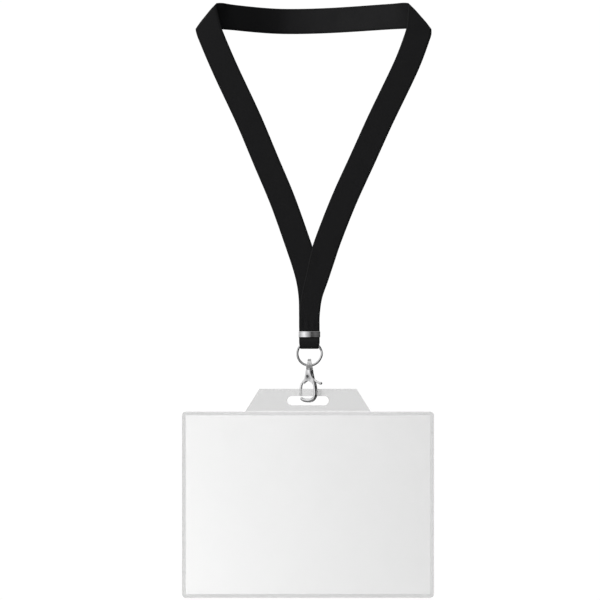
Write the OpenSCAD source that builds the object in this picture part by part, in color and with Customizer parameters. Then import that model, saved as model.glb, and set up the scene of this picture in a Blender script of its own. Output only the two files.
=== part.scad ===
// Lanyard badge holder, hanging from the wearer's neck.
// X is to the viewer's right, Y goes away from the viewer and Z is up.
// The origin is on the front face of the ribbon, in the middle of the neck section.

/* [Neck ribbon] */
// Width of the woven ribbon
ribbon_w = 22.5; // [20:0.5:22.5]
// Thickness of the woven ribbon
ribbon_t = 0.9; // [0.7:0.05:0.9]
// Bend radius of the soft folds at the two upper corners, to the ribbon's middle
fold_r = 1.3; // [1.2:0.1:2]
// How far the neck section bows back behind the hanging arms
bow_depth = 36; // [30:1:42]
// Width of the ribbon where it is squeezed in the crimp
crimped_w = 18; // [17:0.1:18]
// Width of the ribbon at the bottom of the loop that holds the ring
loop_w = 16.2; // [14:0.1:16.4]

/* [Crimp] */
// Height of the crimp clamp
crimp_h = 5.2; // [4:0.2:6]
// Sheet thickness of the crimp clamp
crimp_wall = 0.4; // [0.3:0.05:0.5]
// Gap between the two folded lips at the back of the crimp
crimp_seam = 0.6; // [0.3:0.1:1.5]

/* [Split ring] */
// Outside diameter of the split ring
ring_od = 23; // [22.6:0.1:23.2]
// Diameter of the wire that the ring is coiled from
ring_wire = 1.95; // [1.7:0.05:1.95]

/* [Swivel clasp] */
// Turn of the clasp about its swivel axis, away from lying flat with the holder
clasp_yaw = 30; // [30:1:34]
// Thickness of the cast hook body
hook_t = 4.2; // [4:0.1:4.2]
// Radius of the swivel's shank
shank_r = 1.15; // [1:0.05:1.2]
// Radius of the gate rivet
rivet_r = 0.8; // [0.6:0.05:0.8]
// Thickness of the gate lever inside the clevis slot
lever_t = 1.8; // [1.6:0.1:1.8]

/* [Holder] */
// Outside width of the welded holder
holder_w = 220.5; // [217:0.5:224]
// Outside height of the welded holder, without its tab
holder_h = 163; // [157:0.5:166]
// Width of the welded border
border = 3.3; // [2.5:0.1:4]
// Radius of the holder's outer corners
corner_r = 3.5; // [2:0.5:5]
// Thickness of the back sheet and its tab
back_t = 0.8; // [0.6:0.1:0.8]
// Thickness of the front sheet
front_t = 0.35; // [0.3:0.05:0.5]
// Depth of the pocket between the sheets
pocket_d = 0.9; // [0.6:0.1:1.2]
// Width of the tab along its top edge
tab_top_w = 85; // [80:1:95]
// Width of the tab where it meets the holder
tab_foot_w = 110; // [100:1:120]
// Height of the tab
tab_h = 19.9; // [19:0.1:21]
// Length of the slot from end to end
slot_l = 36.2; // [32:0.1:40]
// Height of the slot
slot_h = 8; // [7.5:0.1:8.4]

/* [Hidden] */
eps = 0.01;
round_fn = 48;

// The plane that the arms, the clasp and the holder hang in
hang_y = -bow_depth;
// Small parts share one vertical line a touch right of the holder's middle
clasp_x = 1.2;

// Heights of the chain from the crimp down to the slot
crimp_top = -276.8;
crimp_foot = crimp_top - crimp_h;
layer_gap = 0.1;
layer_pitch = ribbon_t + layer_gap;
loop_r = 2.75;
loop_centre_z = -288.8;
ring_r = (ring_od - ring_wire) / 2;
ring_z = -296.15;
ring_foot = ring_z - ring_r;
slot_top = -333.5;
hook_inner_foot = slot_top - 1.9;

// ---------- vectors and curves ----------
function unit(v) = v / norm(v);
function mix(a, b, k) = a + (b - a) * k;
function ease(k) = let (c = min(max(k, 0), 1)) c * c * (3 - 2 * c);
function point_at(p, i) = p[min(max(i, 0), len(p) - 1)];
function spline_at(a, b, c, d, k) =
    0.5 * (2 * b + (c - a) * k + (2 * a - 5 * b + 4 * c - d) * k * k
    + (3 * b - a - 3 * c + d) * k * k * k);
// A smooth curve through the points p, with n steps between each pair
function smooth(p, n) = [
    for (i = [0:len(p) - 2], j = [0:n - 1])
        spline_at(point_at(p, i - 1), p[i], p[i + 1], point_at(p, i + 2), j / n),
    p[len(p) - 1]
];
function reversed(list) = [for (i = [len(list) - 1:-1:0]) list[i]];
function slice(list, first, last) = [for (i = [first:last]) list[i]];

// A closed skin over a row of rings that have the same number of points
module skin(rings) {
    m = len(rings[0]);
    last = len(rings) - 1;
    walls = [
        for (i = [0:last - 1], j = [0:m - 1])
            let (k = (j + 1) % m)
            each [
                [i * m + j, (i + 1) * m + k, i * m + k],
                [i * m + j, (i + 1) * m + j, (i + 1) * m + k]
            ]
    ];
    first_end = [for (j = [1:m - 2]) [0, j, j + 1]];
    last_end = [for (j = [1:m - 2]) [last * m, last * m + j + 1, last * m + j]];
    polyhedron([for (r = rings) each r], concat(walls, first_end, last_end));
}

// ---------- the ribbon's route ----------
// Each station is [middle of the ribbon, half of its width as a vector].
// Each fold lies at half of the angle between the level neck section and its arm, and
// side is -1 at the left corner and 1 at the right one.
left_fold_angle = 51;
right_fold_angle = 48.5;
left_fold = [-88.3, hang_y, -1.5];
right_fold = [96.9, hang_y, -1.5];
// Hand-chosen middles of the arms, [x, y behind the hanging plane, z], from the top down
left_points = [
    [-86.7, -1.6, -13.2], [-83.5, -1.8, -21.9], [-76.1, -1.9, -39.4],
    [-68.2, -1.8, -56.9], [-51.8, -1.5, -91.9], [-37.1, -1, -126.9],
    [-22.4, -0.5, -161.9], [-9.9, 0, -196.9], [-4.4, 0.2, -213.9],
    [-0.8, 0.3, -230.1], [0.8, 0.2, -246.1], [1.1, 0, -262.7],
    [1.2, 0, -276.8], [1.2, 0, -281.8]
];
right_points = [
    [97, -1.6, -13.2], [94.6, -1.9, -21.9], [88.1, -2.2, -39.4],
    [80.2, -2.5, -56.9], [63.3, -2.7, -91.9], [47.4, -2.6, -126.9],
    [31.5, -2.4, -161.9], [17.7, -2.1, -196.9], [12.3, -1.8, -213.9],
    [7.9, -1.5, -230.1], [3.4, -1.2, -246.1], [1.3, -1, -262.7],
    [1.2, -1, -276.8], [1.2, -1, -282.6]
];
arm_steps = 3;
fold_steps = 8;
neck_steps = 20;
loop_steps = 10;

function fold_middle(side) = side > 0 ? right_fold : left_fold;
function fold_angle(side) = side > 0 ? right_fold_angle : left_fold_angle;
function fold_axis(side) = [-side * cos(fold_angle(side)), 0, sin(fold_angle(side))];
// The ribbon slides along the fold's axis while it goes round it
function fold_slip(side) = PI * fold_r / tan(fold_angle(side));
function neck_end(side) =
    fold_middle(side) + [0, fold_r, 0] + fold_axis(side) * fold_slip(side) / 2;
function arm_top(side) =
    fold_middle(side) - [0, fold_r, 0] - fold_axis(side) * fold_slip(side) / 2;

// The width of an arm at the height z, narrowing towards the crimp
gather_from = -203;
gather_to = -254;
turn_length = 24;
function arm_w(z) =
    mix(ribbon_w, crimped_w, ease((gather_from - z) / (gather_from - gather_to)));
// The half width turns from the fold's slant until it stands square across the arm
function arm_half(p, along, side) =
    let (
        run = unit([along[0], 0, along[2]]),
        normal = [-run[2], 0, run[0]],
        square_across = normal * sign(normal * fold_axis(side)),
        turn = ease(norm(p - arm_top(side)) / turn_length),
        across = unit(mix(fold_axis(side), square_across, turn))
    )
    across * arm_w(p[2]) / 2 / (across * square_across);
function arm(points, side) =
    let (
        guides = concat([arm_top(side)], [for (p = points) p + [0, hang_y, 0]]),
        line = smooth(guides, arm_steps)
    )
    [
        for (i = [0:len(line) - 1])
            let (along = point_at(line, i + 1) - point_at(line, i - 1))
            [line[i], arm_half(line[i], along, side)]
    ];

// Half a turn round a fold's slanting axis, from the neck section to the arm in front
function fold(side) = [
    for (i = [1:fold_steps - 1])
        let (
            k = i / fold_steps,
            out = [side * sin(fold_angle(side)), 0, cos(fold_angle(side))]
        )
        [
            fold_middle(side) + fold_axis(side) * fold_slip(side) * (0.5 - k)
            + out * fold_r * sin(180 * k) + [0, fold_r * cos(180 * k), 0],
            fold_axis(side) * ribbon_w / 2 / sin(fold_angle(side))
        ]
];

// The neck section bows back behind the arms, most at neck_peak of its length. The bow
// is deep enough for its front face to pass through the origin.
neck_peak = 0.39;
bow_power = 1.4;
function bow(k) =
    pow(sin(90 * min(k / neck_peak, (1 - k) / (1 - neck_peak))), bow_power);
function neck() =
    let (
        a = neck_end(-1), b = neck_end(1),
        at_origin = -a[0] / (b[0] - a[0]),
        depth = (ribbon_t / 2 - a[1]) / bow(at_origin)
    )
    [
        for (i = [0:neck_steps])
            let (
                k = i / neck_steps,
                p = mix(a, b, k),
                side = k < 0.5 ? -1 : 1,
                turn = ease(norm(p - neck_end(side)) / turn_length),
                angle = mix(fold_angle(side), 90, turn)
            )
            [
                [p[0], a[1] + depth * bow(k), p[2] * (1 - bow(k))],
                [-side * cos(angle), 0, sin(angle)] * ribbon_w / 2 / sin(angle)
            ]
    ];

// From the crimp down in front of the ring, round its wire and up behind it
flare = [[-layer_pitch, crimp_foot], [-2.5, -284.8], [-loop_r, -286.8]];
taper_top = -288.2;
taper_length = 2.2;
function loop_station(y, z) =
    let (w = mix(crimped_w, loop_w, ease((taper_top - z) / taper_length)))
    [[clasp_x, hang_y + y, z], [-w / 2, 0, 0]];
ring_loop = concat(
    [for (p = flare) loop_station(p[0], p[1])],
    [
        for (i = [0:loop_steps])
            let (a = 180 * i / loop_steps)
            loop_station(-loop_r * cos(a), loop_centre_z - loop_r * sin(a))
    ],
    [for (p = reversed(flare)) loop_station(-p[0], p[1])]
);
tail_end = [loop_station(layer_pitch, crimp_top + 0.8)];

// The whole ribbon in one row, so that its parts share the stations where they meet
left_arm = reversed(arm(left_points, -1));
left_corner = reversed(fold(-1));
right_arm = arm(right_points, 1);
ribbon = concat(
    left_arm, left_corner, neck(), fold(1), right_arm, slice(ring_loop, 1, len(ring_loop) - 1),
    tail_end
);
neck_first = len(left_arm) - 1;
neck_last = neck_first + 2 * fold_steps + neck_steps;
crimp_at = neck_last + len(right_arm) - 1;
loop_last = crimp_at + len(ring_loop) - 1;

// The corners of the ribbon's section at a station
function section(i) =
    let (
        p = ribbon[i][0],
        half = ribbon[i][1],
        along = point_at(ribbon, i + 1)[0] - point_at(ribbon, i - 1)[0],
        thick = unit(cross(along, half)) * ribbon_t / 2
    )
    [p - half - thick, p + half - thick, p + half + thick, p - half + thick];
module ribbon_part(first, last) {
    color([0.07, 0.07, 0.08]) skin([for (i = [first:last]) section(i)]);
}

module strap_neck() { ribbon_part(neck_first, neck_last); }
module strap_left() { ribbon_part(0, neck_first); }
module strap_right() { ribbon_part(neck_last, crimp_at); }
module strap_loop() { ribbon_part(crimp_at, loop_last); }
module strap_end() { ribbon_part(loop_last, loop_last + 1); }

// ---------- crimp ----------
crimp_room = 0.1;
crimp_in_w = crimped_w + 2 * crimp_room;
crimp_in_d = 3 * ribbon_t + 2 * layer_gap + 2 * crimp_room;
module rounded_box(w, d, r) {
    square([w - 2 * r, d], center = true);
    square([w, d - 2 * r], center = true);
    for (x = [-1, 1], y = [-1, 1])
        translate([x * (w / 2 - r), y * (d / 2 - r)]) circle(r, $fn = round_fn);
}
module crimp_clamp() {
    lip_depth = 3 * crimp_wall;
    color([0.75, 0.75, 0.77])
        translate([clasp_x, hang_y, crimp_foot])
            linear_extrude(crimp_h)
                difference() {
                    rounded_box(crimp_in_w + 2 * crimp_wall, crimp_in_d + 2 * crimp_wall, 0.8);
                    rounded_box(crimp_in_w, crimp_in_d, 0.4);
                    translate([0, crimp_in_d / 2 + crimp_wall / 2])
                        square([crimp_seam, lip_depth], center = true);
                }
}

// ---------- split ring ----------
// Two turns side by side. They change places on the right, where the wire's ends are.
ring_pitch = ring_wire + 0.05;
ring_sides = 12;
ring_step = 6;
ring_first = 32;
ring_last = 688;
cross_half = 22;
function coil_y(a) =
    mix(-ring_pitch / 2, ring_pitch / 2, ease((a - 360 + cross_half) / (2 * cross_half)));
function coil_point(a) =
    [clasp_x + ring_r * cos(a), hang_y + coil_y(a), ring_z + ring_r * sin(a)];
function coil_ring(a) = [
    for (j = [0:ring_sides - 1])
        let (b = 360 * j / ring_sides, r = ring_wire / 2)
        coil_point(a) + r * cos(b) * [cos(a), 0, sin(a)] + [0, r * sin(b), 0]
];
module split_ring() {
    color([0.72, 0.72, 0.74])
        skin([for (a = [ring_first:ring_step:ring_last]) coil_ring(a)]);
}

// ---------- swivel eye ----------
// The ring's wire runs through the eye, low in its hole. The eye is broad where it
// meets the collar and narrow at its top.
eye_hole_r = 3;
eye_rim = 1.8;
eye_z = ring_foot + 1;
eye_top_w = 2.6;
eye_foot_w = 5.8;
barrel_top = -310.2;
barrel_gap = 0.15;
collar_r = 3.1;
collar_h = 1.35;
collar_step = 0.5;
groove_depth = 0.25;
head_r = 1.9;
head_h = 1.3;
cap_h = 1.6;
cavity_h = 1.7;
head_top = barrel_top - cap_h - 0.2;
collar_foot = barrel_top + barrel_gap;
module eye_ring() {
    outside = eye_hole_r + eye_rim;
    intersection() {
        translate([0, 0, eye_z])
            rotate([0, 90, 0])
                difference() {
                    cylinder(r = outside, h = 3 * eye_foot_w, center = true, $fn = round_fn);
                    cylinder(r = eye_hole_r, h = 4 * eye_foot_w, center = true, $fn = round_fn);
                }
        rotate([90, 0, 0])
            linear_extrude(4 * outside, center = true)
                polygon([
                    [-eye_foot_w / 2, collar_foot + collar_step],
                    [eye_foot_w / 2, collar_foot + collar_step],
                    [eye_foot_w / 2 - 0.2, eye_z - 1.5], [eye_top_w / 2, eye_z + outside],
                    [-eye_top_w / 2, eye_z + outside], [0.2 - eye_foot_w / 2, eye_z - 1.5]
                ]);
    }
}
module swivel_eye() {
    color([0.78, 0.78, 0.8])
        translate([clasp_x, hang_y, 0]) {
            eye_ring();
            for (z = [0, collar_h - collar_step])
                translate([0, 0, collar_foot + z])
                    cylinder(r = collar_r, h = collar_step, $fn = round_fn);
            translate([0, 0, collar_foot])
                cylinder(r = collar_r - groove_depth, h = collar_h, $fn = round_fn);
            translate([0, 0, head_top - eps])
                cylinder(r = shank_r, h = collar_foot + 2 * eps - head_top, $fn = round_fn);
            translate([0, 0, head_top - head_h])
                cylinder(r = head_r, h = head_h, $fn = round_fn);
        }
}

// ---------- hook body ----------
// Inside in_clasp(), x runs across the hook, y through its thickness, and z is
// measured up from the lowest point inside the hook.
module in_clasp() {
    translate([clasp_x, hang_y, hook_inner_foot]) rotate([0, 0, -clasp_yaw]) children();
}
hook_sides = 20;
body_squareness = 2.6;
bend_squareness = 2.1;
function power(v, e) = sign(v) * pow(abs(v), e);
// A rounded section about p, with one half axis along across and the other along y
function rounded_ring(p, across, a, b, squareness) = [
    for (j = [0:hook_sides - 1])
        let (t = 360 * j / hook_sides, e = 2 / squareness)
        p + across * a * power(cos(t), e) + [0, b * power(sin(t), e), 0]
];
// The spine, the bend and the nose as [x, z, half width, half thickness]
bend = [
    [1.2, 21.5, 1.4, 1.8], [3, 18.2, 1.5, 2], [4.5, 15, 1.5, hook_t / 2],
    [5.5, 11.5, 1.5, hook_t / 2], [6.05, 7.8, 1.5, hook_t / 2],
    [6.15, 4.4, 1.55, hook_t / 2], [5.5, 1.6, 1.6, hook_t / 2],
    [3.7, -0.7, 1.75, hook_t / 2], [1, -1.8, 1.8, hook_t / 2],
    [-2.2, -1.95, 1.8, hook_t / 2], [-5.2, -1.6, 1.65, 2], [-7.4, -0.75, 1.3, 1.75],
    [-8.5, 0, 0.9, 1.4]
];
module hook_bend() {
    line = smooth(bend, 4);
    skin([
        for (i = [0:len(line) - 1])
            let (
                q = point_at(line, i + 1) - point_at(line, i - 1),
                across = unit([q[1], 0, -q[0]]),
                p = line[i]
            )
            rounded_ring([p[0], 0, p[1]], across, p[2], p[3], bend_squareness)
    ]);
}
// The body above the opening as [x, z, half width, half thickness], from its top down
barrel_height = barrel_top - hook_inner_foot;
body_rows = [
    [0, barrel_height, 2.6, 2.6], [0, barrel_height - 0.4, 3.15, 3.05],
    [0, 21.8, 3.7, 3], [0.05, 19, 4.55, 2.65], [0.1, 16.8, 5.2, 2.35],
    [0.05, 14.8, 6, 2.2], [0, 12.4, 6.6, 2.1]
];
module hook_shoulders() {
    line = smooth(body_rows, 3);
    skin([
        for (i = [len(line) - 1:-1:0])
            let (p = line[i])
            rounded_ring([p[0], 0, p[1]], [1, 0, 0], p[2], p[3], body_squareness)
    ]);
}
// Turns an outline drawn in x and z into a plate of the thickness t, centred on y = 0
module upright_plate(t) {
    rotate([90, 0, 0]) linear_extrude(t, center = true) children();
}
rivet_at = [-0.6, 19.1];
rivet_head_r = 1.15;
rivet_head_h = 0.35;
rivet_half = 2.35;
hub_r = 1.7;
slot_room = 0.15;
arch_r = 5.3;
arch_at = [-0.6, 9.9];
bore_room = 0.1;
module hook_body() {
    color([0.76, 0.76, 0.78])
        in_clasp()
            difference() {
                union() {
                    hook_bend();
                    hook_shoulders();
                }
                // the arch over the opening
                translate([arch_at[0], 0, arch_at[1]])
                    rotate([90, 0, 0])
                        cylinder(r = arch_r, h = 10, center = true, $fn = round_fn);
                // the clevis slot that the lever swings in
                upright_plate(lever_t + 2 * slot_room) {
                    translate(rivet_at) circle(hub_r + 0.35, $fn = round_fn);
                    polygon([[-0.6, 21.1], [-10, 17.5], [-10, 6], [-0.6, 6]]);
                    polygon([[-0.6, 17.1], [14, 10.4], [14, 16.2], [-0.6, 21.1]]);
                }
                // the seat of the rivet
                translate([rivet_at[0], 0, rivet_at[1]])
                    rotate([90, 0, 0])
                        cylinder(r = rivet_r + 0.03, h = 10, center = true, $fn = round_fn);
                // the spot faces under the rivet's two heads
                for (side = [-1, 1])
                    translate([rivet_at[0], side * (rivet_half + 1 - 2 * eps), rivet_at[1]])
                        rotate([90, 0, 0])
                            cylinder(
                                r = rivet_head_r + 0.05, h = 2, center = true,
                                $fn = round_fn
                            );
                // the swivel's bore and the room for its head
                translate([0, 0, barrel_height - cap_h - eps])
                    cylinder(r = shank_r + bore_room, h = cap_h + 1, $fn = round_fn);
                translate([0, 0, barrel_height - cap_h - cavity_h])
                    cylinder(r = head_r + bore_room, h = cavity_h, $fn = round_fn);
            }
}

// ---------- rivet, lever and spring ----------
module gate_rivet() {
    color([0.35, 0.35, 0.37])
        in_clasp()
            translate([rivet_at[0], 0, rivet_at[1]])
                rotate([90, 0, 0]) {
                    cylinder(r = rivet_r, h = 2 * rivet_half, center = true, $fn = round_fn);
                    for (side = [-1, 1])
                        translate([0, 0, side * (rivet_half + rivet_head_h / 2)])
                            cylinder(
                                r = rivet_head_r, h = rivet_head_h + eps,
                                center = true, $fn = round_fn
                            );
                }
}
// The lever's gate arm as [x, z, half width, half thickness], from the hub to its tip
gate_rows = [
    [-1.6, 18.3, 0.95, 0.88], [-4.4, 16.2, 1, 0.88], [-6.9, 13.6, 1.05, 0.9],
    [-8.3, 10.8, 1.1, 1.1], [-8.75, 7.1, 1.1, 1.2], [-8.7, 4.2, 1.05, 1.2],
    [-8.5, 1.9, 1, 1.15]
];
// The thumb arm, from the hub out past the spine
thumb_rows = [
    [-0.2, 18.8, 0.85, 0.88], [3.4, 16.9, 0.85, 0.88], [7, 14.9, 0.85, 0.9],
    [10, 13.7, 0.9, 1], [11.2, 13.4, 1.3, 1.5], [12.3, 13.3, 0.9, 1.2]
];
module lever_arm(rows) {
    line = smooth(rows, 4);
    skin([
        for (i = [0:len(line) - 1])
            let (
                q = point_at(line, i + 1) - point_at(line, i - 1),
                across = unit([q[1], 0, -q[0]]),
                p = line[i]
            )
            rounded_ring([p[0], 0, p[1]], across, p[2], p[3], body_squareness)
    ]);
}
module gate_lever() {
    spring_room = 1.2;
    color([0.8, 0.8, 0.82])
        in_clasp()
            difference() {
                union() {
                    lever_arm(gate_rows);
                    lever_arm(thumb_rows);
                    translate([rivet_at[0], 0, rivet_at[1]])
                        rotate([90, 0, 0])
                            cylinder(r = hub_r, h = lever_t, center = true, $fn = round_fn);
                }
                translate([rivet_at[0], 0, rivet_at[1]])
                    rotate([90, 0, 0])
                        cylinder(r = rivet_r + 0.06, h = 10, center = true, $fn = round_fn);
                // the recess behind the hub for the spring's coil
                translate([rivet_at[0], lever_t / 2 - spring_room / 2 + eps, rivet_at[1]])
                    rotate([90, 0, 0])
                        cylinder(
                            r = hub_r - 0.25, h = spring_room + 2 * eps,
                            center = true, $fn = round_fn
                        );
            }
}
// A small torsion spring round the rivet
spring_wire = 0.28;
spring_r = 1.15;
spring_turns = 2.5;
spring_sides = 6;
function spring_ring(a) =
    let (
        back = lever_t / 2 - spring_wire / 2 - 0.03 - (spring_wire + 0.04) * (a / 360),
        out = [cos(a), 0, sin(a)]
    )
    [
        for (j = [0:spring_sides - 1])
            let (b = 360 * j / spring_sides, r = spring_wire / 2)
            out * (spring_r + r * cos(b)) + [0, back + r * sin(b), 0]
    ];
module gate_spring() {
    color([0.6, 0.6, 0.62])
        in_clasp()
            translate([rivet_at[0], 0, rivet_at[1]])
                skin([for (a = [0:20:360 * spring_turns]) spring_ring(a)]);
}

// ---------- holder ----------
tab_foot_z = slot_top + 6.4 - tab_h;
holder_mid_z = tab_foot_z - holder_h / 2;
slot_mid_z = slot_top - slot_h / 2;
// Draws an outline in x and z as a plate whose front is at y from the hanging plane
module sheet_at(y, t) {
    translate([0, hang_y + y + t, 0]) rotate([90, 0, 0]) linear_extrude(t) children();
}
module holder_outline(inset, r) {
    translate([0, holder_mid_z])
        rounded_box(holder_w - 2 * inset, holder_h - 2 * inset, r);
}
tab_overlap = 1;
module tab_outline() {
    spread = (tab_foot_w - tab_top_w) / 2 * (1 + tab_overlap / tab_h);
    polygon([
        [-tab_top_w / 2 - spread, tab_foot_z - tab_overlap],
        [-tab_top_w / 2, tab_foot_z + tab_h], [tab_top_w / 2, tab_foot_z + tab_h],
        [tab_top_w / 2 + spread, tab_foot_z - tab_overlap]
    ]);
}
module slot_outline() {
    translate([0, slot_mid_z]) {
        square([slot_l - slot_h, slot_h], center = true);
        for (x = [-1, 1])
            translate([x * (slot_l - slot_h) / 2, 0]) circle(slot_h / 2, $fn = round_fn);
    }
}
module back_panel() {
    color([0.86, 0.86, 0.86, 0.6])
        difference() {
            union() {
                sheet_at(-back_t / 2, back_t) holder_outline(0, corner_r);
                sheet_at(-back_t / 2, back_t) tab_outline();
            }
            sheet_at(-back_t, 2 * back_t) slot_outline();
        }
}
// The front sheet stands off the back one by the pocket's depth, and is welded to it
// along the left, lower and upper edges. The right edge is the pocket's mouth, where
// the sheet is doubled over into a hem.
window_r = 3;
mouth_margin = 8;
module window_outline(inset, reach) {
    holder_outline(inset, window_r);
    translate([holder_w / 2 - mouth_margin / 2 + reach / 2, holder_mid_z])
        square([mouth_margin + reach, holder_h - 2 * inset], center = true);
}
module front_panel() {
    rim_front = -back_t / 2 - front_t;
    window_front = rim_front - pocket_d;
    hem_h = holder_h - 2 * border + 2 * front_t;
    color([0.93, 0.93, 0.93, 0.4])
        difference() {
            union() {
                sheet_at(rim_front, front_t) holder_outline(0, corner_r);
                sheet_at(window_front, pocket_d + front_t)
                    window_outline(border - front_t, 0);
                sheet_at(window_front - front_t, 2 * front_t)
                    translate([holder_w / 2 - border / 2, holder_mid_z])
                        square([border, hem_h], center = true);
            }
            sheet_at(window_front + front_t, pocket_d + eps) window_outline(border, 1);
        }
}

strap_neck();
strap_left();
strap_right();
strap_end();
strap_loop();
crimp_clamp();
split_ring();
swivel_eye();
hook_body();
gate_rivet();
gate_spring();
gate_lever();
back_panel();
front_panel();
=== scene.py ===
"""Lanyard badge holder: the looks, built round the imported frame."""

import math

import bmesh
import bpy
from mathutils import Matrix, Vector


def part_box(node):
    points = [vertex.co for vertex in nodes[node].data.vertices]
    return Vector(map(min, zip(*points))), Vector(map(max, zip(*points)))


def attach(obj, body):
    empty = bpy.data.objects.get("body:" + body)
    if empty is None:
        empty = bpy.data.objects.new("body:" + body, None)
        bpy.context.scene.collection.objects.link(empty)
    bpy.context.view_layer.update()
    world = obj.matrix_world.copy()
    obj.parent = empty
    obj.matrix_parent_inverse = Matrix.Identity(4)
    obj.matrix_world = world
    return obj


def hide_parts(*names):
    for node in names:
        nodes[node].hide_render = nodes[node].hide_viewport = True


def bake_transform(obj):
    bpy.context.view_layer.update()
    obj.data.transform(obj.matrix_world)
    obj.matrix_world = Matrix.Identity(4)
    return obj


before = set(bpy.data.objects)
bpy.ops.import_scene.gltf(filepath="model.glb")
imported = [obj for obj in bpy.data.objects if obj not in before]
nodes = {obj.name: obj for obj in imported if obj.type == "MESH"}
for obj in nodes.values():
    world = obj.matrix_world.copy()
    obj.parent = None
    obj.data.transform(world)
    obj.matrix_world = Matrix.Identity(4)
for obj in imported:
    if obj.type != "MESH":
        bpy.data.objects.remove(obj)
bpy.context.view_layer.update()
scene = bpy.context.scene
MM = 0.001


def centre(node):
    """The middle of a CAD node's box, in millimetres."""
    low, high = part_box(node)
    return (low + high) / 2 / MM


# ---------- camera and light -----------------
CAMERA_X = -0.007
CAMERA_Z = -0.2494
CAMERA_DISTANCE = 1.6
VIEW_WIDTH = 0.525
SENSOR = 36
hang_y = centre("crimp_clamp")[1]

camera_data = bpy.data.cameras.new("camera")
camera_data.sensor_width = SENSOR
camera_data.lens = SENSOR * CAMERA_DISTANCE / VIEW_WIDTH
camera = bpy.data.objects.new("camera", camera_data)
camera.location = (CAMERA_X, hang_y * MM - CAMERA_DISTANCE, CAMERA_Z)
camera.rotation_euler = (math.radians(90), 0, 0)
scene.collection.objects.link(camera)
scene.camera = camera
scene.view_settings.view_transform = "Standard"


def area_light(name, location, size, power, aim):
    """A soft rectangular light that points at aim and that metal doesn't mirror."""
    data = bpy.data.lights.new(name, "AREA")
    data.shape = "RECTANGLE"
    data.size, data.size_y = size
    data.energy = power
    light = bpy.data.objects.new(name, data)
    light.visible_glossy = False
    light.location = location
    toward = Vector(aim) - Vector(location)
    light.rotation_euler = toward.to_track_quat("-Z", "Y").to_euler()
    scene.collection.objects.link(light)


MIDDLE = (0, hang_y * MM, -0.25)
area_light("key", (-1.5, -1.3, 0.35), (0.8, 1.4), 26, MIDDLE)
area_light("fill", (0.6, -1.9, 0.9), (0.5, 0.5), 3, MIDDLE)


def node(tree, kind, **inputs):
    """A shader node with some of its sockets set, by name or, as in_1, by number."""
    made = tree.nodes.new(kind)
    for key, value in inputs.items():
        if key.startswith("in_"):
            made.inputs[int(key[3:])].default_value = value
        else:
            made.inputs[key.replace("_", " ")].default_value = value
    return made


# How bright the studio looks from the metal: (direction, strength), with -1 at the left
# and 1 at the right. Set against the photo's greys.
STUDIO_SIDES = [
    (-1, 0.75), (-0.9, 0.8), (-0.75, 1.1), (-0.4, 0.95), (-0.25, 0.35), (-0.12, 1.4),
    (-0.05, 0.75), (0.01, 0.35), (0.05, 0.05), (0.14, 0.17), (0.3, 0.05), (0.97, 0.03),
    (1, 0.4),
]


def make_world():
    """White to the camera, and to the metal a studio with light and dark panels."""
    world = bpy.data.worlds.new("studio")
    world.use_nodes = True
    scene.world = world
    tree = world.node_tree
    tree.nodes.clear()
    link = tree.links.new
    where = node(tree, "ShaderNodeTexCoord")
    split = node(tree, "ShaderNodeSeparateXYZ")
    link(where.outputs["Generated"], split.inputs[0])
    across = ranged(tree, split.outputs["X"], 0, 1, -1, 1)
    sides = ramp(tree, across, [((x + 1) / 2, (v, v, v)) for x, v in STUDIO_SIDES])
    above = ranged(tree, split.outputs["Z"], 0, 0.55, 0.2, 0.6)
    below = math_node(
        tree, "MAXIMUM", ranged(tree, split.outputs["Z"], 0.05, 1, -0.4, -0.1),
        ranged(tree, split.outputs["X"], 0, 0.6, -0.5, -0.2),
    )
    behind = math_node(
        tree, "MULTIPLY", ranged(tree, split.outputs["Y"], 0, 0.95, 0.2, 0.5),
        ranged(tree, split.outputs["X"], 1, 0, -0.15, 0),
    )
    studio = node(tree, "ShaderNodeBackground")
    panels = math_node(tree, "MAXIMUM", math_node(tree, "MAXIMUM", sides, above), behind)
    lit = math_node(tree, "MULTIPLY", panels, below)
    link(lit, studio.inputs["Strength"])
    white = node(tree, "ShaderNodeBackground", Strength=1.02)
    white.inputs["Color"].default_value = (1, 1, 1, 1)
    studio.inputs["Color"].default_value = (1, 1, 1, 1)
    ray = node(tree, "ShaderNodeLightPath")
    choose = node(tree, "ShaderNodeMixShader")
    link(ray.outputs["Is Camera Ray"], choose.inputs[0])
    link(studio.outputs[0], choose.inputs[1])
    link(white.outputs[0], choose.inputs[2])
    out = node(tree, "ShaderNodeOutputWorld")
    link(choose.outputs[0], out.inputs[0])


def new_material(name, **inputs):
    """A material, its node tree and its one Principled shader."""
    material = bpy.data.materials.new(name)
    material.use_nodes = True
    tree = material.node_tree
    shader = tree.nodes["Principled BSDF"]
    for key, value in inputs.items():
        shader.inputs[key.replace("_", " ")].default_value = value
    return material, tree, shader


def add_noise(tree, scale, detail, source):
    """A noise texture read at source."""
    noise = node(tree, "ShaderNodeTexNoise", Scale=scale, Detail=detail)
    tree.links.new(source, noise.inputs["Vector"])
    return noise


def ranged(tree, value, low, high, from_low=0.3, from_high=0.7):
    """value moved from one range to another, low to high, and held inside it."""
    made = node(tree, "ShaderNodeMapRange")
    made.inputs["From Min"].default_value = from_low
    made.inputs["From Max"].default_value = from_high
    made.inputs["To Min"].default_value = low
    made.inputs["To Max"].default_value = high
    tree.links.new(value, made.inputs["Value"])
    return made.outputs[0]


def add_bump(tree, shader, height, strength, distance):
    """Fine relief, in metres, on a shader's normal."""
    bump = node(tree, "ShaderNodeBump", Strength=strength, Distance=distance)
    tree.links.new(height, bump.inputs["Height"])
    tree.links.new(bump.outputs[0], shader.inputs["Normal"])


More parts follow.
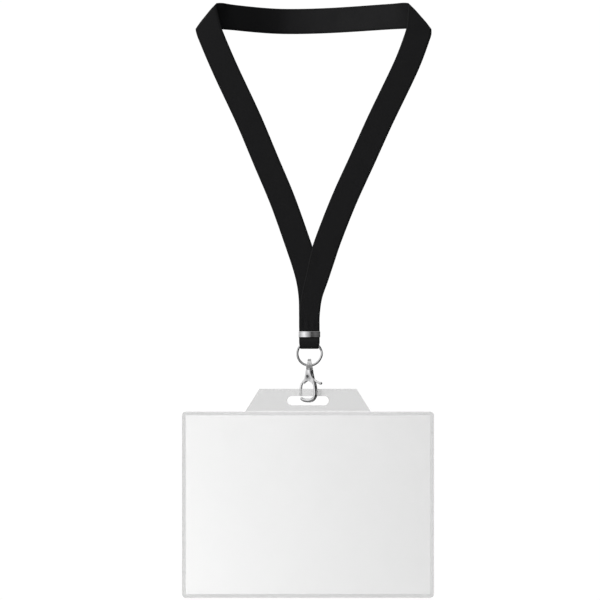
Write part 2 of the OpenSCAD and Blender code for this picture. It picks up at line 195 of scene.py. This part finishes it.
def ramp(tree, value, stops):
    """A colour ramp through (place, colour) stops."""
    made = node(tree, "ShaderNodeValToRGB")
    elements = made.color_ramp.elements
    while len(elements) < len(stops):
        elements.new(0.5)
    for element, (place, colour) in zip(elements, stops):
        element.position = place
        element.color = (*colour, 1)
    tree.links.new(value, made.inputs[0])
    return made.outputs[0]


def math_node(tree, operation, a, b):
    """The result of one sum of two sockets or numbers."""
    made = node(tree, "ShaderNodeMath")
    made.operation = operation
    for i, x in enumerate((a, b)):
        if isinstance(x, (int, float)):
            made.inputs[i].default_value = x
        else:
            tree.links.new(x, made.inputs[i])
    return made.outputs[0]


make_world()


def build(name, points, faces, material):
    """A mesh object from points in millimetres."""
    mesh = bpy.data.meshes.new(name)
    mesh.from_pydata([Vector(p) * MM for p in points], [], faces)
    mesh.materials.append(material)
    mesh.validate()
    bm = bmesh.new()
    bm.from_mesh(mesh)
    bmesh.ops.recalc_face_normals(bm, faces=bm.faces)
    bm.to_mesh(mesh)
    bm.free()
    mesh.polygons.foreach_set("use_smooth", [True] * len(mesh.polygons))
    obj = bpy.data.objects.new(name, mesh)
    scene.collection.objects.link(obj)
    return obj


# ---------- ribbon ----------
RIBBON_W = 22.5
RIBBON_T = 0.9
FOLD_R = 1.3
CRIMPED_W = 18
LOOP_W = 16.2
FOLD_ANGLES = {-1: math.radians(51), 1: math.radians(48.5)}
TURN_LENGTH = 24
NECK_PEAK = 0.39
BOW_POWER = 1.4
CLASP_X = 1.2
CRIMP_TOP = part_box("crimp_clamp")[1][2] / MM
CRIMP_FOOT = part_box("crimp_clamp")[0][2] / MM
LAYER = 1.0
TAPER_TOP_Z = -203
TAPER_LENGTH = 51
LOOP_R = 2.75
# 0.2 lower than in the CAD, so that the ring's wire clears the ribbon
LOOP_CENTRE_Z = -289.0
LOOP_FLARE = [(-2.5, -284.8), (-LOOP_R, -286.8)]
LOOP_TAPER_TOP_Z = -288.2
LOOP_TAPER_LENGTH = 2.2
TAIL_PAST_CRIMP = 0.6
FOLDS = {-1: Vector((-88.3, hang_y, -1.5)), 1: Vector((96.9, hang_y, -1.5))}
LEFT_POINTS = [
    (-86.7, -1.6, -13.2), (-83.5, -1.8, -21.9), (-76.1, -1.9, -39.4),
    (-68.2, -1.8, -56.9), (-51.8, -1.5, -91.9), (-37.1, -1, -126.9),
    (-22.4, -0.5, -161.9), (-9.9, 0, -196.9), (-4.4, 0.2, -213.9),
    (-0.8, 0.3, -230.1), (0.8, 0.2, -246.1), (1.1, 0, -262.7),
    (1.2, 0, -276.8), (1.2, 0, -281.8),
]
RIGHT_POINTS = [
    (97, -1.6, -13.2), (94.6, -1.9, -21.9), (88.1, -2.2, -39.4),
    (80.2, -2.5, -56.9), (63.3, -2.7, -91.9), (47.4, -2.6, -126.9),
    (31.5, -2.4, -161.9), (17.7, -2.1, -196.9), (12.3, -1.8, -213.9),
    (7.9, -1.5, -230.1), (3.4, -1.2, -246.1), (1.3, -1, -262.7),
    (1.2, -1, -276.8), (1.2, -1, -282.6),
]
ARM_STEPS = 10
FOLD_STEPS = 24
NECK_STEPS = 90
LOOP_STEPS = 24
FLARE_STEPS = 6
ACROSS = 20
# The folds' tips are softened this near to a fold, fading over TIP_FADE
TIP_REACH = 16
TIP_FADE = 6
TIP_SPREAD = 2.4
TIP_LEAST_STEP = 0.02
# Lengthwise gathers above the crimp
GATHER_TOP_Z = -262
GATHER_FADE_IN = 12
GATHER_FADE_OUT = 4
GATHER_GAP = 1
GATHER_DEPTH = 0.16
GATHER_WAVE = 1.15
GATHER_SHIFT = 0.6
# Along the half width: where the selvedge starts to round off, and its stitched line
ROUND_START = 0.965
ROUND_SPAN = 0.05
LINE_PLACE = 0.86
LINE_SPAN = 0.03
LINE_DEPTH = 0.35
TIP_SHIFT_START = 0.4


def mix(a, b, k):
    return a + (b - a) * k


def ease(k):
    k = min(max(k, 0), 1)
    return k * k * (3 - 2 * k)


def spline(points, steps):
    """A smooth curve through the points, with so many steps between each pair."""
    last = len(points) - 1
    made = []
    for i in range(last):
        a, b, c, d = (points[min(max(i + j, 0), last)] for j in (-1, 0, 1, 2))
        for j in range(steps):
            k = j / steps
            made.append(
                0.5
                * (
                    2 * b
                    + (c - a) * k
                    + (2 * a - 5 * b + 4 * c - d) * k * k
                    + (3 * b - a - 3 * c + d) * k**3
                )
            )
    return made + [points[last]]


def sweep_faces(rings, size):
    """Quads between neighbouring closed rings that have size points each."""
    faces = []
    for i in range(rings - 1):
        for j in range(size):
            k = (j + 1) % size
            faces.append((i * size + j, i * size + k, (i + 1) * size + k, (i + 1) * size + j))
    return faces


def fold_axis(side):
    """The line that a corner is folded along, toward the middle and up."""
    angle = FOLD_ANGLES[side]
    return Vector((-side * math.cos(angle), 0, math.sin(angle)))


def fold_slip(side):
    """How far the ribbon runs along the axis on its way round the fold."""
    return fold_axis(side) * math.pi * FOLD_R / math.tan(FOLD_ANGLES[side])


def fold_edge(side, way):
    """Where a fold meets the neck section, for way 1, or its arm, for way -1."""
    return FOLDS[side] + Vector((0, way * FOLD_R, 0)) + fold_slip(side) * way / 2


def arm_width(z):
    """The ribbon's width, which narrows toward the crimp."""
    return mix(RIBBON_W, CRIMPED_W, ease((TAPER_TOP_Z - z) / TAPER_LENGTH))


def arm(points, side):
    """Stations down an arm, each with the ribbon's middle and half of its width."""
    top = fold_edge(side, -1)
    line = spline([top] + [Vector(p) + Vector((0, hang_y, 0)) for p in points], ARM_STEPS)
    made = []
    for i, p in enumerate(line):
        along = line[min(i + 1, len(line) - 1)] - line[max(i - 1, 0)]
        run = Vector((along[0], 0, along[2])).normalized()
        square = Vector((-run[2], 0, run[0]))
        if square.dot(fold_axis(side)) < 0:
            square = -square
        turn = ease((p - top).length / TURN_LENGTH)
        across = mix(fold_axis(side), square, turn).normalized()
        made.append((p, across * arm_width(p[2]) / 2 / across.dot(square)))
    return made


def fold(side):
    """Half a turn round a corner's slanting axis, from the neck section to the arm."""
    angle = FOLD_ANGLES[side]
    out = Vector((side * math.sin(angle), 0, math.cos(angle)))
    half = fold_axis(side) * RIBBON_W / 2 / math.sin(angle)
    made = []
    for i in range(1, FOLD_STEPS):
        k = i / FOLD_STEPS
        turn = math.pi * k
        made.append((
            FOLDS[side] + fold_slip(side) * (0.5 - k)
            + out * FOLD_R * math.sin(turn) + Vector((0, FOLD_R * math.cos(turn), 0)),
            half,
        ))
    return made


def neck_bow(k):
    """How far back the neck is at k along it, from 0 at the corners to 1."""
    turn = math.pi / 2 * min(k / NECK_PEAK, (1 - k) / (1 - NECK_PEAK))
    return max(0, math.sin(turn)) ** BOW_POWER


def neck():
    """The neck section, which bows back behind the arms."""
    a, b = fold_edge(-1, 1), fold_edge(1, 1)
    depth = (RIBBON_T / 2 - a[1]) / neck_bow(-a[0] / (b[0] - a[0]))
    made = []
    for i in range(NECK_STEPS + 1):
        k = i / NECK_STEPS
        bow = neck_bow(k)
        side = -1 if k < 0.5 else 1
        p = mix(a, b, k)
        turn = ease((p - fold_edge(side, 1)).length / TURN_LENGTH)
        angle = mix(FOLD_ANGLES[side], math.pi / 2, turn)
        half = Vector((-side * math.cos(angle), 0, math.sin(angle))) * RIBBON_W / 2
        p = Vector((p[0], a[1] + depth * bow, p[2] * (1 - bow)))
        made.append((p, half / math.sin(angle)))
    return made


def loop_station(y, z):
    """A station of the loop, y in front of or behind the middle."""
    width = mix(CRIMPED_W, LOOP_W, ease((LOOP_TAPER_TOP_Z - z) / LOOP_TAPER_LENGTH))
    return Vector((CLASP_X, hang_y + y, z)), Vector((-width / 2, 0, 0))


def ring_loop():
    """From the crimp down in front of the ring, round its wire and up behind it."""
    guides = [(-LAYER, CRIMP_FOOT)] + LOOP_FLARE
    down = spline([Vector(guide) for guide in guides], FLARE_STEPS)
    made = [loop_station(*p) for p in down]
    for i in range(1, LOOP_STEPS + 1):
        turn = math.pi * i / LOOP_STEPS
        made.append(loop_station(
            -LOOP_R * math.cos(turn), LOOP_CENTRE_Z - LOOP_R * math.sin(turn)
        ))
    made += [loop_station(-p[0], p[1]) for p in reversed(down)][:-1]
    tail_z = CRIMP_TOP + TAIL_PAST_CRIMP
    return made + [loop_station(LAYER, CRIMP_FOOT), loop_station(LAYER, tail_z)]


def ribbon_route():
    """The stations from the left arm's end, round the neck and back through the loop."""
    left, right = arm(LEFT_POINTS, -1), arm(RIGHT_POINTS, 1)
    return left[::-1] + fold(-1)[::-1] + neck() + fold(1) + right + ring_loop()[1:]


def round_tips(route):
    """How far each selvedge point moves so that the folds' sharp tips turn soft."""
    shifts = []
    for way in (-1, 1):
        edge = [p + half * way for p, half in route]
        moved = []
        for i, e in enumerate(edge):
            near = min((route[i][0] - f).length for f in FOLDS.values())
            amount = ease((TIP_REACH - near) / TIP_FADE)
            if not amount:
                moved.append(Vector((0, 0, 0)))
                continue
            total, weight = Vector((0, 0, 0)), 0
            for way_on in (-1, 1):
                k, run = i, 0
                while 0 <= k < len(edge) and run < 3 * TIP_SPREAD:
                    w = math.exp(-((run / TIP_SPREAD) ** 2) / 2)
                    total += edge[k] * w
                    weight += w
                    step = k + way_on
                    if 0 <= step < len(edge):
                        run += max((edge[step] - edge[k]).length, TIP_LEAST_STEP)
                    k = step
            shift = (total / weight - e) * amount
            shift[1] = 0
            moved.append(shift)
        shifts.append(moved)
    return shifts


def ripple(x, z):
    """Lengthwise gathers where the ribbon is squeezed above the crimp."""
    near = ease((z - GATHER_TOP_Z) / -GATHER_FADE_IN)
    near *= ease((CRIMP_TOP + GATHER_GAP - z) / -GATHER_FADE_OUT)
    return GATHER_DEPTH * near * math.sin((x - CLASP_X) * GATHER_WAVE + GATHER_SHIFT)


def make_ribbon(material):
    """One closed strip along the route, with rounded selvedges and a uv map in metres."""
    route = ribbon_route()
    shifts = round_tips(route)
    count = len(route)
    points, uvs = [], []
    run = 0
    profile = [(-1 + 2 * j / ACROSS, 1) for j in range(ACROSS + 1)]
    profile += [(1 - 2 * j / ACROSS, -1) for j in range(ACROSS + 1)]
    for i, (p, half) in enumerate(route):
        along = route[min(i + 1, count - 1)][0] - route[max(i - 1, 0)][0]
        thick = along.cross(half).normalized()
        if i:
            run += (p - route[i - 1][0]).length
        for s, face in profile:
            past = max(0, (abs(s) - ROUND_START) / ROUND_SPAN)
            edge = math.sqrt(max(0, 1 - past ** 2))
            pinch = 1 - LINE_DEPTH * math.exp(-(((abs(s) - LINE_PLACE) / LINE_SPAN) ** 2))
            q = p + half * s + thick * face * RIBBON_T / 2 * edge * pinch
            q += shifts[s > 0][i] * ease((abs(s) - TIP_SHIFT_START) / 0.6)
            q[1] += ripple(q[0], q[2])
            points.append(q)
            uvs.append((s, run * MM))
    size = len(profile)
    faces = sweep_faces(count, size)
    for i in (0, count - 1):
        for j in range(ACROSS):
            a, b = i * size + j, i * size + size - 1 - j
            faces.append((a, a + 1, b - 1, b))
    ribbon = build("ribbon", points, faces, material)
    layer = ribbon.data.uv_layers.new(name="ribbon_uv")
    for loop in ribbon.data.loops:
        layer.data[loop.index].uv = uvs[loop.vertex_index]
    return ribbon


WARP_WAVES = 11 * 2.4
WEFT_PITCH = 0.0005


def ribbon_material():
    """Black satin ribbon: a fine rib across it, thin selvedge lines and a soft sheen."""
    material, tree, shader = new_material(
        "black_ribbon", Roughness=0.5, Sheen_Weight=0.03, Sheen_Roughness=0.4
    )
    shader.inputs["Specular IOR Level"].default_value = 0.16
    shader.inputs["Sheen Tint"].default_value = (0.8, 0.85, 0.95, 1)
    link = tree.links.new
    uv = node(tree, "ShaderNodeUVMap")
    uv.uv_map = "ribbon_uv"
    split = node(tree, "ShaderNodeSeparateXYZ")
    link(uv.outputs[0], split.inputs[0])
    across, along = split.outputs["X"], split.outputs["Y"]
    warp_turn = math_node(tree, "MULTIPLY", across, WARP_WAVES * math.pi)
    warp = math_node(tree, "SINE", warp_turn, 0)
    weft_turn = math_node(tree, "MULTIPLY", along, 2 * math.pi / WEFT_PITCH)
    weft = math_node(tree, "SINE", weft_turn, 0)
    threads = math_node(tree, "ADD", math_node(tree, "MULTIPLY", warp, weft), weft)
    edge = math_node(tree, "ABSOLUTE", across, 0)
    line = math_node(tree, "ABSOLUTE", math_node(tree, "SUBTRACT", edge, LINE_PLACE), 0)
    groove = ranged(tree, line, 0, 1, 0.0, 0.035)
    where = node(tree, "ShaderNodeTexCoord")
    cloud = add_noise(tree, 60, 4, where.outputs["Object"])
    fibre = add_noise(tree, 2600, 2, where.outputs["Object"])
    shade = math_node(
        tree, "MULTIPLY", math_node(tree, "ADD", fibre.outputs[0], cloud.outputs[0]), groove
    )
    colour = ramp(tree, shade, [(0.1, (0.002, 0.002, 0.0022)), (1.0, (0.0075, 0.0075, 0.008))])
    link(colour, shader.inputs["Base Color"])
    link(ranged(tree, cloud.outputs[0], 0.42, 0.58), shader.inputs["Roughness"])
    height = math_node(tree, "ADD", math_node(tree, "MULTIPLY", threads, 0.25), groove)
    add_bump(tree, shader, height, 0.35, 0.00008)
    return material


ribbon = make_ribbon(ribbon_material())
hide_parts("strap_neck", "strap_left", "strap_right", "strap_end", "strap_loop")
# The bend is short because a longer one lets the ring's wire cross the ribbon when it swings
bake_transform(ribbon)


# ---------- metal ----------
def metal_material(name, colour, low, high, scratch):
    """Polished plating with a faint cloudiness, fine scratches and worn patches."""
    material, tree, shader = new_material(name, Metallic=1)
    link = tree.links.new
    where = node(tree, "ShaderNodeTexCoord")
    cloud = add_noise(tree, 500, 5, where.outputs["Object"])
    stretch = node(tree, "ShaderNodeMapping")
    stretch.inputs["Scale"].default_value = (4000, 4000, 350)
    stretch.inputs["Rotation"].default_value = (0.3, 0.5, 0.2)
    link(where.outputs["Object"], stretch.inputs[0])
    hair = add_noise(tree, 1, 3, stretch.outputs[0])
    dark = tuple(0.86 * c for c in colour)
    link(
        ramp(tree, cloud.outputs[0], [(0.35, dark), (0.6, colour)]),
        shader.inputs["Base Color"],
    )
    link(ranged(tree, cloud.outputs[0], low, high), shader.inputs["Roughness"])
    add_bump(tree, shader, hair.outputs[0], scratch, 0.00002)
    return material


plating = metal_material("nickel_plating", (0.82, 0.82, 0.83), 0.09, 0.2, 0.12)
wire_metal = metal_material("ring_steel", (0.68, 0.68, 0.69), 0.12, 0.2, 0.08)
crimp_metal = metal_material("crimp_steel", (0.74, 0.74, 0.75), 0.05, 0.08, 0.03)
satin_metal = metal_material("satin_gate", (0.95, 0.95, 0.95), 0.3, 0.4, 0.08)
rivet_metal = metal_material("dark_rivet", (0.12, 0.12, 0.125), 0.3, 0.42, 0.15)


def soften(name, source, material, voxel, passes):
    """A cast or stamped piece: the CAD node's shape with its edges softened."""
    mesh = nodes[source].data.copy()
    mesh.materials.clear()
    mesh.materials.append(material)
    obj = bpy.data.objects.new(name, mesh)
    scene.collection.objects.link(obj)
    bm = bmesh.new()
    bm.from_mesh(mesh)
    bmesh.ops.remove_doubles(bm, verts=bm.verts, dist=1e-7)
    bm.to_mesh(mesh)
    bm.free()
    remesh = obj.modifiers.new("remesh", "REMESH")
    remesh.mode = "VOXEL"
    remesh.voxel_size = voxel * MM
    remesh.use_smooth_shade = True
    smooth = obj.modifiers.new("smooth", "SMOOTH")
    smooth.factor = 0.5
    smooth.iterations = passes
    bpy.context.view_layer.update()
    shaped = obj.evaluated_get(bpy.context.evaluated_depsgraph_get())
    obj.modifiers.clear()
    obj.data = bpy.data.meshes.new_from_object(shaped)
    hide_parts(source)
    return obj


hook = soften("hook_casting", "hook_body", plating, 0.11, 8)
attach(hook, "hook")
lever = soften("gate_stamping", "gate_lever", satin_metal, 0.1, 6)
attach(lever, "gate")
eye = soften("eye_turning", "swivel_eye", satin_metal, 0.08, 14)
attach(eye, "eye")


def assign(name, material):
    """Give a CAD node its material."""
    for slot in nodes[name].material_slots:
        slot.material = material


assign("gate_rivet", rivet_metal)
assign("gate_spring", wire_metal)

CRIMP_R = 0.8
CRIMP_WALL = 0.4
CRIMP_BOW = 0.6
CRIMP_SEAM = 0.6
CRIMP_GROOVES = (1.2, 2.6, 4)
CRIMP_GROOVE_DEPTH = 0.05
CRIMP_GROOVE_SPAN = 0.16
CRIMP_RIM = 0.35
CRIMP_RIM_DROP = 0.16
CRIMP_EDGE = 0.12
CRIMP_ROWS = 46
CRIMP_BACK_STEPS = 12
CRIMP_FRONT_STEPS = 40
CRIMP_CORNER_STEPS = 6


def crimp_path():
    """The outside of the crimp seen from above, from the seam at the back all round."""
    low, high = (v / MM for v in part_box("crimp_clamp"))
    w, d = (high[0] - low[0]) / 2, (high[1] - low[1]) / 2
    path = []
    steps = CRIMP_BACK_STEPS
    for i in range(steps):
        x = mix(CRIMP_SEAM / 2, w - CRIMP_R, i / steps)
        path.append((Vector((x, d)), Vector((0, 1))))
    corners = [(1, 1, 90), (1, -1, 0), (-1, -1, -90), (-1, 1, -180)]
    for n, (sx, sy, start) in enumerate(corners):
        for i in range(CRIMP_CORNER_STEPS + 1):
            turn = math.radians(start - 90 // CRIMP_CORNER_STEPS * i)
            out = Vector((math.cos(turn), math.sin(turn)))
            corner = Vector((sx * (w - CRIMP_R), sy * (d - CRIMP_R)))
            path.append((corner + out * CRIMP_R, out))
        if n == 1:
            for i in range(1, CRIMP_FRONT_STEPS):
                x = mix(1, -1, i / CRIMP_FRONT_STEPS) * (w - CRIMP_R)
                path.append((Vector((x, -d)), Vector((0, -1))))
    for i in range(1, steps + 1):
        x = mix(CRIMP_R - w, -CRIMP_SEAM / 2, i / steps)
        path.append((Vector((x, d)), Vector((0, 1))))
    return path, w


def make_crimp():
    """The clamp: a band with rolled edges, a bowed face and three faint pressed lines."""
    path, w = crimp_path()
    height = CRIMP_TOP - CRIMP_FOOT
    profile = []
    for i in range(CRIMP_ROWS + 1):
        z = mix(CRIMP_EDGE, height - CRIMP_EDGE, i / CRIMP_ROWS)
        rim = min(z, height - z)
        back = CRIMP_RIM_DROP * max(0, 1 - rim / CRIMP_RIM) ** 2
        groove = sum(
            CRIMP_GROOVE_DEPTH * math.exp(-(((z - g) / CRIMP_GROOVE_SPAN) ** 2))
            for g in CRIMP_GROOVES
        )
        profile.append((-back - groove, z))
    profile += [(-0.22, height), (-0.34, height - 0.06)]
    profile += [(-CRIMP_WALL, height - 0.2), (-CRIMP_WALL, 0.2), (-0.34, 0.06), (-0.22, 0)]
    points, faces = [], []
    for p, out in path:
        for offset, z in profile:
            q = p + out * offset
            bowed = -CRIMP_BOW * (1 - (q[0] / w) ** 2) * ease(-q[1])
            points.append((CLASP_X + q[0], hang_y + q[1] + bowed, CRIMP_FOOT + z))
    size = len(profile)
    for i in range(len(path) - 1):
        for j in range(size):
            k = (j + 1) % size
            faces.append((i * size + j, (i + 1) * size + j, (i + 1) * size + k, i * size + k))
    faces.append(tuple(range(size)))
    faces.append(tuple((len(path) - 1) * size + j for j in range(size)))
    return build("crimp_band", points, faces, crimp_metal)


crimp = make_crimp()
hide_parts("crimp_clamp")
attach(crimp, "lanyard")


RING_WIRE = 1.95
RING_GAP = 0.05
RING_SIDES = 20
# Degrees along the coil: its ends, and where it steps from the first turn to the second
COIL_FIRST = 26
COIL_LAST = 694
COIL_STEP_START = 344
COIL_STEP_SPAN = 32
# At the step the wire also stands out a little
COIL_MIDDLE = 360
COIL_BULGE = 0.4
COIL_BULGE_SPAN = 17
# The wire's two ends are slightly thinner
END_LENGTH = 4
END_THICKNESS = 0.75


def make_ring():
    """The split ring: two turns of round wire side by side, with a step between them."""
    low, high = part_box("split_ring")
    radius = (high[0] - low[0]) / MM / 2 - RING_WIRE / 2
    middle = centre("split_ring")
    pitch = RING_WIRE + RING_GAP
    points = []
    count = COIL_LAST - COIL_FIRST + 1
    for a in range(COIL_FIRST, COIL_LAST + 1):
        turn = math.radians(a)
        out = Vector((math.cos(turn), 0, math.sin(turn)))
        y = mix(-pitch / 2, pitch / 2, ease((a - COIL_STEP_START) / COIL_STEP_SPAN))
        bulge = COIL_BULGE * math.exp(-(((a - COIL_MIDDLE) / COIL_BULGE_SPAN) ** 2))
        end = min(a - COIL_FIRST, COIL_LAST - a)
        thin = END_THICKNESS + (1 - END_THICKNESS) * math.sqrt(min(end / END_LENGTH, 1))
        p = Vector((CLASP_X, hang_y + y, middle[2])) + out * (radius + bulge)
        r = RING_WIRE / 2 * thin
        for j in range(RING_SIDES):
            b = 2 * math.pi * j / RING_SIDES
            points.append(p + out * r * math.cos(b) + Vector((0, r * math.sin(b), 0)))
    faces = sweep_faces(count, RING_SIDES)
    faces.append(tuple(range(RING_SIDES)))
    faces.append(tuple((count - 1) * RING_SIDES + j for j in range(RING_SIDES)))
    return build("ring_coil", points, faces, wire_metal)


ring = make_ring()
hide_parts("split_ring")
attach(ring, "ring")


# ---------- holder ----------
# Painted shade across the window, darker toward the right: how much of its brightness is left
# at the right-hand edge, by the pocket's mouth
WINDOW_PAINTED_SHADE_LEVEL = 0.74


def sheet_material(
    name, alpha, frost_alpha, colour, frost_colour, tab_foot, low, high, border
):
    """Soft translucent plastic, frosted on the tab and along the welded border, with painted
    shade that darkens the window from left to right.
    """
    material, tree, shader = new_material(name, Roughness=0.3)
    shader.inputs["Specular IOR Level"].default_value = 0.45
    link = tree.links.new
    where = node(tree, "ShaderNodeTexCoord")
    split = node(tree, "ShaderNodeSeparateXYZ")
    link(where.outputs["Object"], split.inputs[0])
    x, z = split.outputs["X"], split.outputs["Z"]
    inside_x = math_node(
        tree, "LESS_THAN", math_node(tree, "ABSOLUTE", x, 0), high[0] - border
    )
    inside_low = math_node(tree, "GREATER_THAN", z, low[2] + border)
    inside_high = math_node(tree, "LESS_THAN", z, tab_foot - border)
    inside = math_node(
        tree, "MULTIPLY", math_node(tree, "MULTIPLY", inside_x, inside_low), inside_high
    )
    from_foot = math_node(tree, "ABSOLUTE", math_node(tree, "SUBTRACT", z, tab_foot), 0)
    link(
        math_node(
            tree, "MULTIPLY", ranged(tree, inside, frost_alpha, alpha, 0, 1),
            ranged(tree, from_foot, 0.62, 1, 0.0004, 0.0011),
        ),
        shader.inputs["Alpha"],
    )
    cloud = add_noise(tree, 14, 2, where.outputs["Object"])
    grain = add_noise(tree, 2600, 2, where.outputs["Object"])
    tint = ramp(tree, inside, [(0, frost_colour), (1, colour)])
    shade = node(tree, "ShaderNodeMix")
    shade.data_type = "RGBA"
    shade.blend_type = "MULTIPLY"
    shade.inputs["Factor"].default_value = 1
    link(tint, shade.inputs["A"])
    # Painted shade: the window's colour darkens from left to right, with a little noise,
    # standing in for the key light's falloff
    painted_shade_across = math_node(
        tree, "ADD", ranged(tree, x, 0, 1, low[0], high[0]),
        ranged(tree, cloud.outputs[0], -0.04, 0.04),
    )
    painted_shade = math_node(tree, "MULTIPLY", painted_shade_across, inside)
    link(ramp(tree, painted_shade, [(0, (1, 1, 1)), (1, (WINDOW_PAINTED_SHADE_LEVEL,) * 3)]), shade.inputs["B"])
    link(shade.outputs["Result"], shader.inputs["Base Color"])
    link(ranged(tree, inside, 0.42, 0.22, 0, 1), shader.inputs["Roughness"])
    height = math_node(
        tree, "ADD",
        math_node(tree, "MULTIPLY", grain.outputs[0], 0.06),
        cloud.outputs[0],
    )
    add_bump(tree, shader, height, 0.15, 0.0009)
    return material


back_low, back_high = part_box("back_panel")
front_low, front_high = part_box("front_panel")
BORDER = 3.3 * MM
back_plastic = sheet_material(
    "frosted_back", 0.2, 0.43, (0.95, 0.95, 0.95), (0.63, 0.63, 0.63),
    front_high[2], back_low, back_high, BORDER,
)
front_plastic = sheet_material(
    "clear_front", 0.2, 0.15, (0.95, 0.95, 0.95), (0.85, 0.85, 0.85),
    front_high[2], front_low, front_high, BORDER,
)
assign("back_panel", back_plastic)
assign("front_panel", front_plastic)

# ---------- floor -------------------
FLOOR_RADIUS = 0.6
FLOOR_Z = -0.64
bpy.ops.mesh.primitive_circle_add(vertices=96, radius=FLOOR_RADIUS, fill_type="NGON")
floor = bpy.context.object
floor.name = "floor"
floor.location = (0, hang_y * MM, FLOOR_Z)
floor_paint, _, floor_shader = new_material("pale_floor", Roughness=0.7)
floor_shader.inputs["Base Color"].default_value = (0.88, 0.88, 0.87, 1)
floor.data.materials.append(floor_paint)
floor.visible_glossy = False
